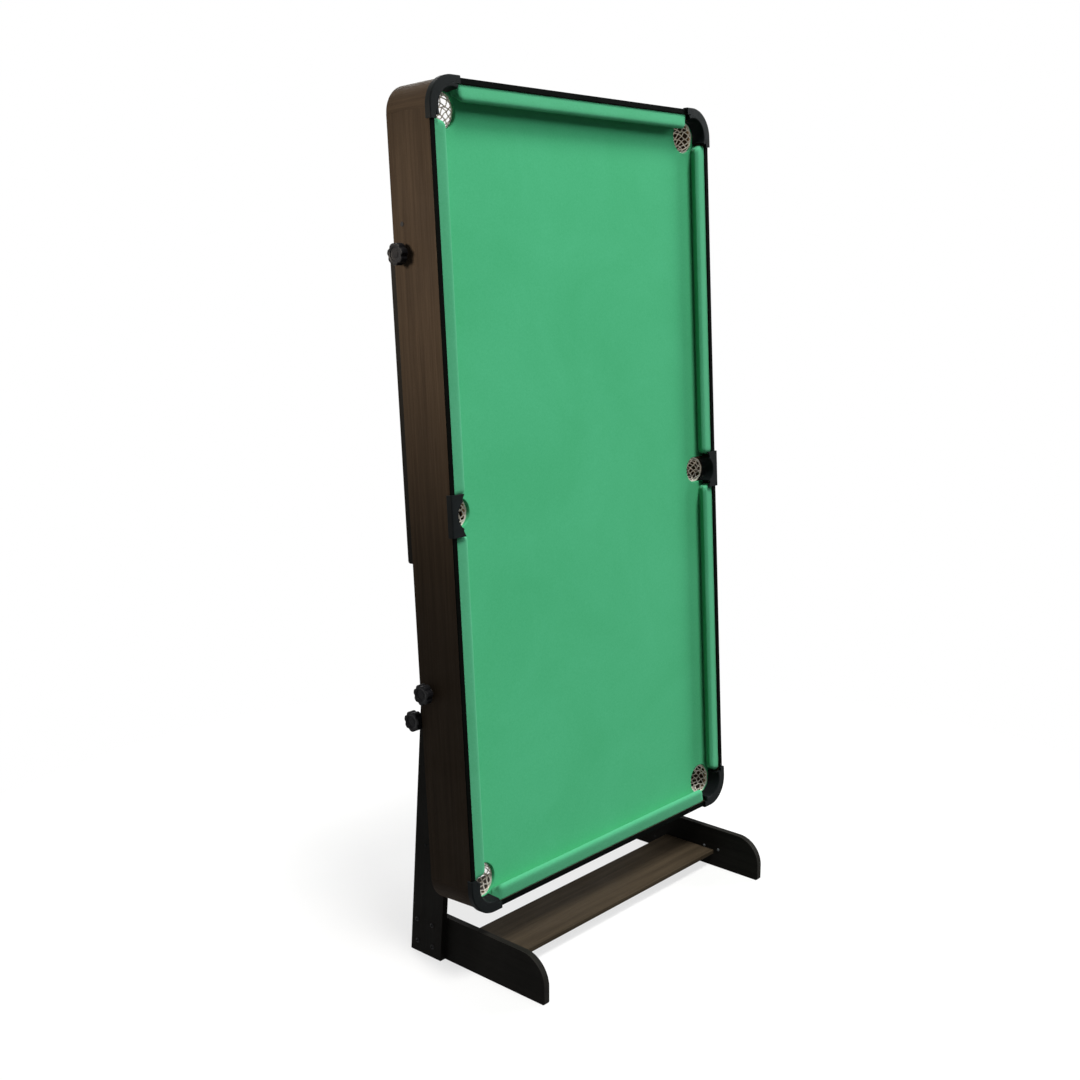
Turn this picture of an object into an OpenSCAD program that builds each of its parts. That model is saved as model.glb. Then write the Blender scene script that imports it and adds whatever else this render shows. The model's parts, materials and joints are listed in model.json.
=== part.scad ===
// Vertical-folding pool table, shown stood up on its end in the folded position.
// Frame: X across the table, -Y towards the player's side, +Z up, floor at Z = 0.
// The table top is drawn lying flat (x across, y along, z up from the rim) and then
// turned up on its pivot by on_table().

/* [Table top] */
// Length of the table top over its end aprons
table_l = 1830; // [1700:5:1980]
// Width of the table top over its side aprons
table_w = 976; // [900:2:1060]
// Height of the aprons from rim to lower edge
apron_h = 134; // [128:1:150]
// Thickness of the apron boards
apron_t = 12; // [10:1:14]
// Outer radius of the corner mouldings
corner_r = 64; // [60:1:70]
// Thickness of the black edging on top of the aprons
edging_t = 3; // [2:0.5:5]
// Drop from the rim to the cloth
bed_drop = 32; // [28:1:38]
// Thickness of the bed board
bed_t = 12; // [9:1:15]
// Thickness of the bed cloth
cloth_t = 1; // [0.6:0.1:2]
// Width of the cushions from the apron to the nose
cushion_w = 36; // [32:1:42]

/* [Pockets] */
// Mouth radius of a corner pocket at the bed
corner_mouth_r = 40; // [36:1:41]
// Mouth radius of a middle pocket at the bed
middle_mouth_r = 34; // [31:1:35]
// Distance of the middle pocket's centre from the apron's outer face
middle_inset = 51; // [50:1:56]
// Height of the pocket castings above the rim
casting_h = 5; // [3:0.5:8]
// Overhang of the castings outside the aprons
casting_lip = 4; // [2:0.5:6]
// Reach of a corner casting along each side
casting_reach = 88; // [84:1:100]
// Length of a middle casting along the side
middle_len = 93; // [88:1:110]
// Depth of a corner net below the rim
corner_net_depth = 116; // [90:1:118]
// Depth of a middle net below the rim
middle_net_depth = 95; // [80:1:97]

/* [Stand] */
// Height of the pivot above the floor
pivot_h = 677; // [650:1:700]
// Space between the feet and the lower end of the folded table top
foot_clear = 58; // [40:1:80]
// Depth of both pivots below the rim
pivot_drop = 104; // [100:1:108]
// Lean of the folded table top from upright
lean = 3.17; // [2:0.01:5]
// Depth of the stand from toe to heel
base_d = 419; // [390:1:480]
// Width of a post, level across
post_w = 101; // [95:1:115]
// Forward lean of the posts
post_lean = 4.68; // [3:0.01:6]
// Thickness of the posts, feet and end legs
panel_t = 16; // [14:1:18]
// Rise of the posts above the pivot
post_rise = 44; // [40:1:50]
// Width of the spacers between the posts and the side aprons
spacer_w = 26.5; // [25:0.5:30]
// Height of the feet
foot_h = 108; // [95:1:125]
// Radius of the toes
toe_r = 68; // [50:1:80]
// Width of the cross beam
beam_w = 161; // [120:1:180]
// Thickness of the cross beam
beam_t = 12; // [10:1:18]
// Height of the cross beam's underside above the floor
beam_z = 34; // [25:1:50]
// Distance of the cross beam behind the toes
beam_setback = 143; // [110:1:160]

/* [End legs] */
// Distance of the end-leg pivot from the upper end of the table top
leg_from_end = 355; // [330:1:380]
// Reach of an end leg behind its pivot
leg_back = 58; // [52:1:62]
// Reach of an end leg in front of its pivot
leg_front = 46; // [40:1:47]
// Width of an end leg at its foot
leg_foot_w = 60; // [50:1:64]
// Height of the board between the end legs
stretcher_h = 100; // [70:1:120]

/* [Knobs and bolts] */
// Radius of the pivot bolts and lock studs
bolt_r = 4; // [3:0.5:5]
// Radius of the hand knobs
knob_r = 24; // [20:1:25]
// Height of the hand knobs
knob_h = 25; // [20:1:30]
// Distance of the lock studs below the pivot
lock_below = 78; // [75:1:84]
// Travel of the lock studs
lock_travel = 20; // [16:1:22]

/* [Hidden] */
$fn = 48;

// Clearances
gap = 0.3;
run = 0.05;

// Table top
half_w = table_w / 2;
inner_x = half_w - apron_t;
cushion_top = -1;
cloth_z = -bed_drop;
bed_top = cloth_z - cloth_t;
bed_under = bed_top - bed_t;
mid_v = table_l / 2;

// Cushions: heights, nose and ends
cushion_foot = cloth_z + gap;
nose_drop = 6;
nose_r = 3;
nose_back = 8;
foot_back = 15;
cushion_end = 82;
mitre_run = 21;
middle_root = 6;
middle_mitre = 5;

// Pocket castings: the collar runs from the bed to a wider mouth at the rim
collar_t = 2.5;
collar_z = cloth_z + 2;
collar_round = 2.5;
collar_inset = 1;
collar_over = 20;
corner_top_r = corner_mouth_r + 2.5;
middle_top_r = middle_mouth_r + 0.8;
middle_collar_arc = 140;
middle_plate_w = 36;
plate_lap = 4;
tab_w = apron_t + 1;
skirt_z = -10;
edge_round = 3;

// Pocket nets
net_t = 2;
net_hem = 5;
belly_share = 0.86;

// Stand
post_tan = tan(post_lean);
post_gap = 6;
post_corner = 24;
post_x = inner_x - spacer_w;
post_in = post_x - panel_t;
foot_in = post_in - panel_t;
heel_y = base_d / 2;
toe_y = -base_d / 2;
toe_corner = 6;
low_z = foot_h + foot_clear;
pivot_v = (pivot_h - low_z - (apron_h - pivot_drop) * sin(lean)) / cos(lean);
pivot_y = post_front(low_z) - post_gap + pivot_v * sin(lean) - (apron_h - pivot_drop) * cos(lean);

// Cross beam and the fasteners of the stand
beam_front = toe_y + beam_setback;
beam_round = 2;
bush_r = bolt_r + 2.5;
stand_bolt_r = 3;
stand_bolt_dy = 51;
stand_bolt_dz = 55;
stand_bolt_low = 28;
stand_bolt_inset = 24;
screw_r = 2;
screw_l = 10;
screw_head_r = 4;
foot_screws_y = [-15.5, 31];
dowel_r = 3;
dowel_l = 20;
dowels = 3;

// Lock studs, from the pivot: on the stand, and in the table top's own frame.
// Their knobs turn clear of the rear edges of the folded aprons.
knob_clear = 2.5314;
lock_back = apron_h - pivot_drop + knob_r + knob_clear;
lock_dy = (lock_back - lock_below * sin(lean)) / cos(lean);
lock_folded = [
    lock_dy * sin(lean) - lock_below * cos(lean),
    -lock_dy * cos(lean) - lock_below * sin(lean)
];
lock_play = [lock_dy, -lock_below];
lobe_r = bolt_r + 8.5;

// Hinge plates and bearers
plate_t = 4;
plate_x = post_in - gap;
plate_margin = 3;
plate_inset = 10;
bearer_t = 28;
bearer_h = 40;
bearer_l = 230;
hinge_screws_n = 4;
hinge_screw_pitch = 50;
spacer_r = 22;

// Battens under the bed
batten_w = 40;
batten_h = 30;
batten_clear = 16;

// End legs
leg_v = table_l - leg_from_end;
leg_x = inner_x - gap;
leg_in = leg_x - panel_t;
leg_shoulder = 8;
leg_head_r = 36;
leg_tip = -pivot_h;
leg_tip_r = 6;
leg_taper_l = 480;
stretcher_t = 16;
stretcher_up = 52;
stretcher_back = 27;
stretcher_v = leg_v + leg_tip + stretcher_up;
stretcher_w = -pivot_drop - stretcher_back;
stretcher_screw_l = 30;
pin_r = 4;
pin_head = 1;
pin_dv = leg_back + pin_r + gap;

// Knobs and the bolts that carry them
washer_t = 2;
washer_r = 11;
knob_x = half_w + washer_t + gap;
knob_stem_r = 13;
knob_stem_h = 7;
knob_face_d = 3;
knob_chamfer = 3;
knob_face_share = 0.62;
knob_bore = knob_h - 5;
lobes = 7;
lobe_cut_r = 7.5;
lobe_cut_out = 4;
head_h = 5;
head_r = bolt_r + 3.5;
bolt_end = knob_x + knob_bore - 1;
lock_x = post_x + lock_travel + 3;

function post_rear(z) = heel_y - z * post_tan;
function post_front(z) = post_rear(z) - post_w;

// Places children drawn in the flat table top's frame on the folded table
module on_table() {
    translate([0, pivot_y, pivot_h])
        rotate([90 - lean, 0, 0])
            translate([0, -pivot_v, pivot_drop])
                children();
}

// Everything at the sides is drawn for the right side and mirrored for the left
module on_side(right) {
    if (right) {
        children();
    } else {
        mirror([1, 0, 0])
            children();
    }
}

module both_sides() {
    on_side(true)
        children();
    on_side(false)
        children();
}

// Draws children made for the lower right corner at the named corner
module at_corner(right, top) {
    on_side(right)
        translate([half_w, top ? table_l : 0, 0])
            mirror([0, top ? 1 : 0, 0])
                children();
}

// Extrudes a side profile, drawn as [along, up], along X
module across(x, t) {
    translate([x, 0, 0])
        rotate([90, 0, 90])
            linear_extrude(t)
                children();
}

// A round bar or bore along X
module bar(r, x0, x1, y, z) {
    translate([x0, y, z])
        rotate([0, 90, 0])
            cylinder(r = r, h = x1 - x0);
}

// A rectangle with rounded corners from [x0, y0] to [x1, y1]
module rounded(x0, y0, x1, y1, r) {
    translate([x0 + r, y0])
        square([x1 - x0 - 2 * r, y1 - y0]);
    translate([x0, y0 + r])
        square([x1 - x0, y1 - y0 - 2 * r]);
    for (x = [x0 + r, x1 - r], y = [y0 + r, y1 - r])
        translate([x, y])
            circle(r);
}

// Stand

module post(right) {
    top_z = pivot_h + post_rise;
    corner_z = top_z - post_corner;
    corner_y = [post_front(corner_z) + post_corner, post_rear(corner_z) - post_corner];
    color("#2a2520")
        on_side(right)
            difference() {
                across(post_in, panel_t) {
                    polygon([
                        [heel_y, 0], [post_rear(corner_z), corner_z], [corner_y[1], top_z],
                        [corner_y[0], top_z], [post_front(corner_z), corner_z], [post_front(0), 0]
                    ]);
                    for (y = corner_y)
                        translate([y, corner_z])
                            circle(post_corner, $fn = 96);
                }
                bar(bush_r, post_in - 1, post_x + 1, pivot_y, pivot_h);
                bar(bush_r, post_in - 1, post_x + 1, pivot_y + lock_dy, pivot_h - lock_below);
                stand_bolt_places()
                    bar(stand_bolt_r, post_in - 1, post_x + 1, 0, 0);
            }
}

module stand_bolt_places() {
    for (y = [0, 1], z = [0, 1])
        translate([0, heel_y - stand_bolt_inset - y * stand_bolt_dy,
                stand_bolt_low + z * stand_bolt_dz])
            children();
}

// Foot: flat on the floor, square heel under the post, round toe
module foot(right) {
    toe_c = toe_y + toe_r;
    color("#26211d")
        on_side(right)
            difference() {
                across(foot_in, panel_t) {
                    polygon([
                        [toe_c, 0], [heel_y, 0],
                        [post_rear(foot_h), foot_h], [toe_c, foot_h]
                    ]);
                    intersection() {
                        translate([toe_c, foot_h - toe_r])
                            circle(toe_r, $fn = 96);
                        translate([toe_y, foot_h - toe_r])
                            square([toe_r, toe_r]);
                    }
                    translate([toe_y, toe_corner])
                        square([toe_r, foot_h - toe_r - toe_corner]);
                    translate([toe_y + toe_corner, 0])
                        square([toe_r - toe_corner, foot_h - toe_r]);
                    translate([toe_y + toe_corner, toe_corner])
                        circle(toe_corner);
                }
                stand_bolt_places()
                    bar(stand_bolt_r, foot_in - 1, post_in + 1, 0, 0);
                foot_screw_places()
                    bar(screw_r, foot_in - 1, foot_in + screw_l, 0, 0);
                dowel_places()
                    bar(dowel_r, foot_in - 1, foot_in + dowel_l / 2, 0, 0);
            }
}

module foot_screw_places() {
    for (y = foot_screws_y)
        translate([0, beam_front + y, beam_z + beam_t + screw_head_r + gap])
            children();
}

module dowel_places() {
    for (i = [1:dowels])
        translate([0, beam_front + beam_w * i / (dowels + 1), beam_z + beam_t / 2])
            children();
}

module cross_beam() {
    color("#2b2621")
        difference() {
            across(-foot_in, 2 * foot_in)
                rounded(beam_front, beam_z, beam_front + beam_w, beam_z + beam_t,
                    beam_round);
            both_sides()
                dowel_places()
                    bar(dowel_r, foot_in - dowel_l / 2, foot_in + 1, 0, 0);
        }
}

module beam_dowels() {
    color("#c9a66b")
        both_sides()
            dowel_places()
                bar(dowel_r, foot_in - dowel_l / 2, foot_in + dowel_l / 2, 0, 0);
}

// Button-head bolts that join each post to its foot
module stand_bolts() {
    color("#3a3a3c")
        both_sides()
            stand_bolt_places() {
                bar(stand_bolt_r, foot_in, post_x, 0, 0);
                translate([post_x, 0, 0])
                    rotate([0, 90, 0])
                        domed_head(2 * stand_bolt_r);
            }
}

// A domed screw head standing on z = 0
module domed_head(r) {
    cylinder(r1 = r, r2 = r * 0.6, h = r / 2);
}

// Two screws on the inner face of each foot, beside the beam
module foot_screws() {
    color("#2c2c2e")
        both_sides()
            foot_screw_places() {
                bar(screw_r, foot_in, foot_in + screw_l, 0, 0);
                translate([foot_in, 0, 0])
                    rotate([0, -90, 0])
                        domed_head(screw_head_r);
            }
}

// Steel bushes in the posts, for the pivot bolts and for the lock studs
module post_bushes() {
    color("#8d8f92")
        both_sides()
            for (p = [[pivot_y, pivot_h, 0], [pivot_y + lock_dy, pivot_h - lock_below, run]])
                difference() {
                    bar(bush_r, post_in, post_x, p[0], p[1]);
                    bar(bolt_r + p[2], post_in - 1, post_x + 1, p[0], p[1]);
                }
}

// Pivot bolts: fixed in the posts, through the hinge plates and the aprons
module pivot_bolts() {
    x_head = plate_x - plate_t - gap;
    color("#9a9ca0")
        both_sides() {
            bar(bolt_r, x_head, bolt_end, pivot_y, pivot_h);
            bar(head_r, x_head - head_h, x_head, pivot_y, pivot_h);
            washer(pivot_y, pivot_h);
        }
}

// A washer under a knob, outside the apron
module washer(y, z) {
    difference() {
        bar(washer_r, half_w + gap, half_w + washer_t, y, z);
        bar(bolt_r, half_w, half_w + 2 * washer_t, y, z);
    }
}

// Table top

// Plan outline of the bed, inside the aprons and the corner mouldings
module bed_plan() {
    c = corner_r - apron_t;
    difference() {
        rounded(-inner_x, apron_t, inner_x, table_l - apron_t, c);
        for (x = [-1, 1], y = [corner_r, table_l - corner_r])
            translate([x * (half_w - corner_r), y])
                circle(corner_mouth_r);
        for (x = [-1, 1]) {
            translate([x * (half_w - middle_inset), mid_v])
                circle(middle_mouth_r);
            translate([x * (half_w - middle_inset / 2), mid_v])
                square([middle_inset, 2 * middle_mouth_r], center = true);
        }
    }
}

module bed_board() {
    color("#a98a5f")
        on_table()
            translate([0, 0, bed_under])
                linear_extrude(bed_t)
                    bed_plan();
}

module bed_cloth() {
    color("#3fa873")
        on_table()
            translate([0, 0, bed_top])
                linear_extrude(cloth_t)
                    bed_plan();
}

module side_apron(right) {
    color("#3d352c")
        on_table()
            on_side(right)
                difference() {
                    translate([inner_x, corner_r, -apron_h])
                        cube([apron_t, table_l - 2 * corner_r, apron_h - edging_t]);
                    for (v = [pivot_v, leg_v])
                        bar(bolt_r + run, inner_x - 1, half_w + 1, v, -pivot_drop);
                    bar(pin_r, inner_x - 1, half_w + 1, leg_v + pin_dv, -pivot_drop);
                }
}

module end_apron(top) {
    w = table_w - 2 * corner_r;
    color("#3d352c")
        on_table()
            translate([-w / 2, top ? table_l - apron_t : 0, -apron_h])
                cube([w, apron_t, apron_h - edging_t]);
}

// Quarter-round moulding that closes a corner between two aprons
module moulding(right, top) {
    color("#3f372e")
        on_table()
            at_corner(right, top)
                translate([-corner_r, corner_r, -apron_h])
                    rotate([0, 0, -90])
                        rotate_extrude(angle = 90, $fn = 96)
                            translate([corner_r - apron_t, 0])
                                square([apron_t, apron_h]);
}

// Black edging on the top edges of the four aprons
module rim_edging() {
    w = table_w - 2 * corner_r;
    color("#17181a")
        on_table() {
            both_sides()
                translate([inner_x, corner_r, -edging_t])
                    cube([apron_t, table_l - 2 * corner_r, edging_t]);
            for (y = [0, table_l - apron_t])
                translate([-w / 2, y, -edging_t])
                    cube([w, apron_t, edging_t]);
        }
}

// Cushion section: [distance from the apron, height]
module cushion_section() {
    polygon(concat(
        [[0, cushion_foot], [0, cushion_top], [cushion_w - nose_back, cushion_top]],
        [for (a = [75:-30:-45]) [
            cushion_w - nose_r + nose_r * cos(a),
            cushion_top - nose_drop + nose_r * sin(a)
        ]],
        [[cushion_w - foot_back, cushion_foot]]
    ));
}

// A straight cushion along +Y from y0 to y1, mitred by m0 and m1 at the nose
module cushion_bar(y0, y1, m0, m1) {
    intersection() {
        translate([0, y0, 0])
            rotate([90, 0, 0])
                mirror([0, 0, 1])
                    linear_extrude(y1 - y0)
                        cushion_section();
        translate([0, 0, -bed_drop])
            linear_extrude(bed_drop)
                polygon([[0, y0], [0, y1], [cushion_w + 1, y1 - m1], [cushion_w + 1, y0 + m0]]);
    }
}

module end_cushion(top) {
    color("#49b37c")
        on_table()
            translate([0, top ? table_l - apron_t : apron_t, 0])
                mirror([0, top ? 1 : 0, 0])
                    translate([half_w, 0, 0])
                        rotate([0, 0, 90])
                            cushion_bar(cushion_end, table_w - cushion_end, mitre_run, mitre_run);
}

module side_cushion(right, top) {
    mid_end = middle_mouth_r + middle_root;
    color("#49b37c")
        on_table()
            at_corner(right, top)
                translate([-apron_t, 0, 0])
                    mirror([1, 0, 0])
                        cushion_bar(cushion_end, mid_v - mid_end, mitre_run, middle_mitre);
}

// Section of a casting's outer edge: skirt, rounded rim and flat top out to reach s
module casting_edge(s) {
    r = edge_round;
    polygon(concat(
        [[casting_lip, skirt_z]],
        [for (a = [0:30:90]) [
            casting_lip - r + r * cos(a), casting_h - r + r * sin(a)
        ]],
        [[-s, casting_h], [-s, 0], [gap, 0], [gap, skirt_z]]
    ));
}

// Section of the collar that leads down into a pocket, r0 at the bed and r1 at the rim
module collar_section(r0, r1, reach) {
    r = collar_round;
    polygon(concat(
        [[r0, collar_z]],
        [for (a = [180:-30:90]) [r1 + r + r * cos(a), casting_h - r + r * sin(a)]],
        [[reach, casting_h], [reach, 0], [r1 + collar_t, 0], [r0 + collar_t, collar_z]]
    ));
}

// Corner casting: round corner, tabs along both rims, open collar round the mouth
module corner_casting(right, top) {
    color("#141517")
        on_table()
            at_corner(right, top) {
                translate([-corner_r, corner_r, 0])
                    rotate([0, 0, -90]) {
                        rotate_extrude(angle = 90, $fn = 96)
                            translate([corner_r, 0])
                                casting_edge(corner_r - corner_top_r - plate_lap);
                        rotate([0, 0, -collar_over])
                            rotate_extrude(angle = 90 + 2 * collar_over, $fn = 96)
                                collar_section(corner_mouth_r - collar_inset, corner_top_r,
                                    corner_r - tab_w);
                    }
                tab = casting_reach - corner_r;
                translate([0, casting_reach, 0])
                    rotate([90, 0, 0])
                        linear_extrude(tab)
                            casting_edge(tab_w);
                translate([-casting_reach, 0, 0])
                    rotate([90, 0, 90])
                        linear_extrude(tab)
                            mirror([1, 0])
                                casting_edge(tab_w);
            }
}

// Middle casting: a straight plate with a round bite and a half collar
module middle_casting(right) {
    arc = middle_collar_arc;
    color("#141517")
        on_table()
            on_side(right)
                translate([half_w, mid_v, 0]) {
                    difference() {
                        translate([0, middle_len / 2, 0])
                            rotate([90, 0, 0])
                                linear_extrude(middle_len)
                                    casting_edge(middle_plate_w);
                        translate([-middle_inset, 0, -1])
                            cylinder(r = middle_top_r + collar_t / 2, h = casting_h + 2, $fn = 96);
                    }
                    translate([-middle_inset, 0, 0])
                        rotate([0, 0, -arc / 2])
                            rotate_extrude(angle = arc, $fn = 96)
                                collar_section(middle_mouth_r - collar_inset, middle_top_r,
                                    middle_top_r + collar_t + 1);
                }
}

// String net, as a cup: hem at the bed, round bottom
module net_cup(r, depth) {
    r_in = r - net_t;
    top = collar_z - gap;
    belly = r * belly_share;
    drop = depth - belly;
    color("#e9e4d6")
        rotate_extrude($fn = 64)
            difference() {
                union() {
                    polygon([[0, top], [r, top], [r, top - net_hem], [belly, -drop], [0, -drop]]);
                    intersection() {
                        translate([0, -drop])
                            circle(belly);
                        translate([0, -depth])
                            square([belly, belly]);
                    }
                }
                polygon([
                    [-1, top + 1], [r_in, top + 1], [r_in, top - net_hem],
                    [belly - net_t, -drop], [-1, -drop]
                ]);
                translate([0, -drop])
                    circle(belly - net_t);
            }
}

module corner_net(right, top) {
    on_table()
        at_corner(right, top)
            translate([-corner_r, corner_r, 0])
                net_cup(corner_mouth_r - gap, corner_net_depth);
}

module middle_net(right) {
    on_table()
        on_side(right)
            translate([half_w - middle_inset, mid_v, 0])
                net_cup(middle_mouth_r - gap, middle_net_depth);
}

// Underside of the table top

module cross_battens() {
    x = half_w - middle_inset - middle_mouth_r - batten_clear;
    color("#b08d5a")
        on_table()
            for (v = [table_l / 6, mid_v, table_l * 5 / 6])
                translate([-x, v - batten_w / 2, bed_under - batten_h])
                    cube([2 * x, batten_w, batten_h]);
}

module hinge_bearers() {
    color("#b08d5a")
        on_table()
            both_sides()
                difference() {
                    translate([plate_x - plate_t - bearer_t, pivot_v - bearer_l / 2,
                            bed_under - bearer_h])
                        cube([bearer_t, bearer_l, bearer_h]);
                    hinge_screw_places()
                        bar(screw_r, plate_x - plate_t - screw_l, plate_x, 0, 0);
                }
}

module hinge_screw_places() {
    for (i = [0:hinge_screws_n - 1])
        translate([0, pivot_v + (i - (hinge_screws_n - 1) / 2) * hinge_screw_pitch,
                bed_under - bearer_h / 2])
            children();
}

// Steel plate with the pivot bore and two bores for the lock stud
module hinge_plate(right) {
    top = bed_under - plate_margin;
    half = bearer_l / 2 - plate_inset;
    low = bed_under - bearer_h;
    p = [pivot_v, -pivot_drop];
    a = p + lock_folded;
    b = p + lock_play;
    tangent = lobe_r * [(b - a)[1], -(b - a)[0]] / norm(b - a);
    color("#1c1d1f")
        on_table()
            on_side(right)
                difference() {
                    across(plate_x - plate_t, plate_t) {
                        polygon([
                            [pivot_v - half, top], [pivot_v - half, low],
                            a + [-lobe_r, 0], a + tangent, b + tangent,
                            b + [lobe_r, 0], [pivot_v + half, low], [pivot_v + half, top]
                        ]);
                        translate(a)
                            circle(lobe_r);
                        translate(b)
                            circle(lobe_r);
                    }
                    bar(bolt_r + run, plate_x - plate_t - 1, plate_x + 1, p[0], p[1]);
                    for (q = [a, b])
                        bar(bolt_r + run, plate_x - plate_t - 1, plate_x + 1, q[0], q[1]);
                    hinge_screw_places()
                        bar(screw_r, plate_x - plate_t - 1, plate_x + 1, 0, 0);
                }
}

// Flat-head screws that hold the hinge plates on their bearers
module hinge_screws() {
    color("#8d8f92")
        on_table()
            both_sides()
                hinge_screw_places()
                    bar(screw_r, plate_x - plate_t - screw_l, plate_x, 0, 0);
}

// Spacers that fill the space between apron and post round the pivot bolt
module pivot_spacers() {
    color("#b08d5a")
        on_table()
            both_sides()
                difference() {
                    bar(spacer_r, post_x + gap, inner_x, pivot_v, -pivot_drop);
                    bar(bolt_r + 2 * run, post_x, inner_x + 1, pivot_v, -pivot_drop);
                }
}

// Pins through the aprons that stop the opened end legs square
module leg_stop_pins() {
    color("#55565a")
        on_table()
            both_sides() {
                bar(pin_r, leg_in, half_w, leg_v + pin_dv, -pivot_drop);
                bar(pin_r + pin_head, half_w, half_w + pin_head, leg_v + pin_dv, -pivot_drop);
            }
}

// End legs

// End leg folded along the apron, drawn from its pivot as [along, up]
module end_leg(right) {
    r = leg_tip_r;
    foot_front = leg_foot_w - leg_back;
    color("#2a2520")
        on_table()
            on_side(right)
                difference() {
                    across(leg_in, panel_t)
                        translate([leg_v, -pivot_drop]) {
                            polygon([
                                [leg_tip, r - leg_back], [leg_tip + r, -leg_back],
                                [0, -leg_back], [leg_shoulder, leg_shoulder - leg_back],
                                [leg_shoulder, leg_front - leg_shoulder], [0, leg_front],
                                [-leg_head_r, leg_front], [-leg_taper_l, foot_front],
                                [leg_tip + r, foot_front], [leg_tip, foot_front - r]
                            ]);
                            circle(leg_head_r, $fn = 96);
                            for (w = [leg_shoulder - leg_back, leg_front - leg_shoulder])
                                translate([0, w])
                                    circle(leg_shoulder);
                            for (w = [r - leg_back, foot_front - r])
                                translate([leg_tip + r, w])
                                    circle(r);
                        }
                    bar(bolt_r, leg_in - 1, leg_x + 1, leg_v, -pivot_drop);
                    stretcher_screw_places()
                        bar(screw_r, leg_in - 1, leg_x + 1, 0, 0);
                }
}

module stretcher_screw_places() {
    for (v = [0.25, 0.75])
        translate([0, stretcher_v + stretcher_h * v, stretcher_w])
            children();
}

module stretcher() {
    color("#2b2621")
        on_table()
            difference() {
                across(-leg_in, 2 * leg_in)
                    rounded(stretcher_v, stretcher_w - stretcher_t / 2,
                        stretcher_v + stretcher_h, stretcher_w + stretcher_t / 2, beam_round);
                both_sides()
                    stretcher_screw_places()
                        bar(screw_r, leg_in - stretcher_screw_l, leg_in + 1, 0, 0);
            }
}

module stretcher_screws() {
    color("#55565a")
        on_table()
            both_sides()
                stretcher_screw_places()
                    bar(screw_r, leg_in - stretcher_screw_l, leg_x, 0, 0);
}

// Bolts fixed in the end legs, turning in the aprons, with a washer under each knob
module end_leg_bolts() {
    color("#9a9ca0")
        on_table()
            both_sides() {
                bar(bolt_r, leg_in, bolt_end, leg_v, -pivot_drop);
                bar(head_r, leg_in - head_h, leg_in, leg_v, -pivot_drop);
                washer(leg_v, -pivot_drop);
            }
}

// Knobs

// Lobed hand knob standing on z = 0, with a recessed face and a bore of radius r
module knob_body(r) {
    color("#101113")
        difference() {
            union() {
                cylinder(r = knob_stem_r, h = knob_stem_h + 1);
                translate([0, 0, knob_stem_h])
                    cylinder(r = knob_r, h = knob_h - knob_stem_h - knob_chamfer, $fn = 96);
                translate([0, 0, knob_h - knob_chamfer])
                    cylinder(r1 = knob_r, r2 = knob_r - knob_chamfer, h = knob_chamfer, $fn = 96);
            }
            for (i = [0:lobes - 1])
                rotate([0, 0, 360 * i / lobes])
                    translate([knob_r + lobe_cut_out, 0, knob_stem_h - 1])
                        cylinder(r = lobe_cut_r, h = knob_h);
            translate([0, 0, knob_h - knob_face_d])
                cylinder(r = knob_r * knob_face_share, h = knob_face_d + 1);
            translate([0, 0, -1])
                cylinder(r = r, h = knob_bore + 1);
        }
}

module pivot_knob(right) {
    on_side(right)
        translate([knob_x, pivot_y, pivot_h])
            rotate([0, 90, 0])
                knob_body(bolt_r + run);
}

module leg_knob(right) {
    on_table()
        on_side(right)
            translate([knob_x, leg_v, -pivot_drop])
                rotate([0, 90, 0])
                    knob_body(bolt_r + run);
}

module lock_knob(right) {
    on_side(right)
        translate([lock_x, pivot_y + lock_dy, pivot_h - lock_below])
            rotate([0, 90, 0])
                knob_body(bolt_r);
}

module lock_stud(right) {
    color("#9a9ca0")
        on_side(right)
            bar(bolt_r, post_in + 1, lock_x + knob_bore, pivot_y + lock_dy, pivot_h - lock_below);
}

post(false);  // left_post
post(true);  // right_post
foot(false);  // left_foot
foot(true);  // right_foot
cross_beam();
beam_dowels();
stand_bolts();
foot_screws();
post_bushes();
pivot_bolts();
bed_board();
bed_cloth();
side_apron(false);  // left_apron
side_apron(true);  // right_apron
end_apron(true);  // top_apron
end_apron(false);  // bottom_apron
moulding(false, true);  // top_left_moulding
moulding(true, true);  // top_right_moulding
moulding(false, false);  // bottom_left_moulding
moulding(true, false);  // bottom_right_moulding
rim_edging();
end_cushion(true);  // top_cushion
end_cushion(false);  // bottom_cushion
side_cushion(false, true);  // upper_left_cushion
side_cushion(false, false);  // lower_left_cushion
side_cushion(true, true);  // upper_right_cushion
side_cushion(true, false);  // lower_right_cushion
corner_casting(false, true);  // top_left_casting
corner_casting(true, true);  // top_right_casting
corner_casting(false, false);  // bottom_left_casting
corner_casting(true, false);  // bottom_right_casting
middle_casting(false);  // middle_left_casting
middle_casting(true);  // middle_right_casting
corner_net(false, true);  // top_left_net
corner_net(true, true);  // top_right_net
corner_net(false, false);  // bottom_left_net
corner_net(true, false);  // bottom_right_net
middle_net(false);  // middle_left_net
middle_net(true);  // middle_right_net
cross_battens();
hinge_bearers();
hinge_plate(false);  // left_hinge_plate
hinge_plate(true);  // right_hinge_plate
hinge_screws();
pivot_spacers();
leg_stop_pins();
end_leg(false);  // left_end_leg
end_leg(true);  // right_end_leg
stretcher();
stretcher_screws();
end_leg_bolts();
pivot_knob(false);  // left_pivot_knob
pivot_knob(true);  // right_pivot_knob
leg_knob(false);  // left_leg_knob
leg_knob(true);  // right_leg_knob
lock_knob(false);  // left_lock_knob
lock_knob(true);  // right_lock_knob
lock_stud(false);  // left_lock_stud
lock_stud(true);  // right_lock_stud
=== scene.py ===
"""Looks of the folding game table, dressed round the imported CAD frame. Metres throughout."""
import json
import math

import bmesh
import bpy
from mathutils import Matrix, Vector, noise

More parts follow.
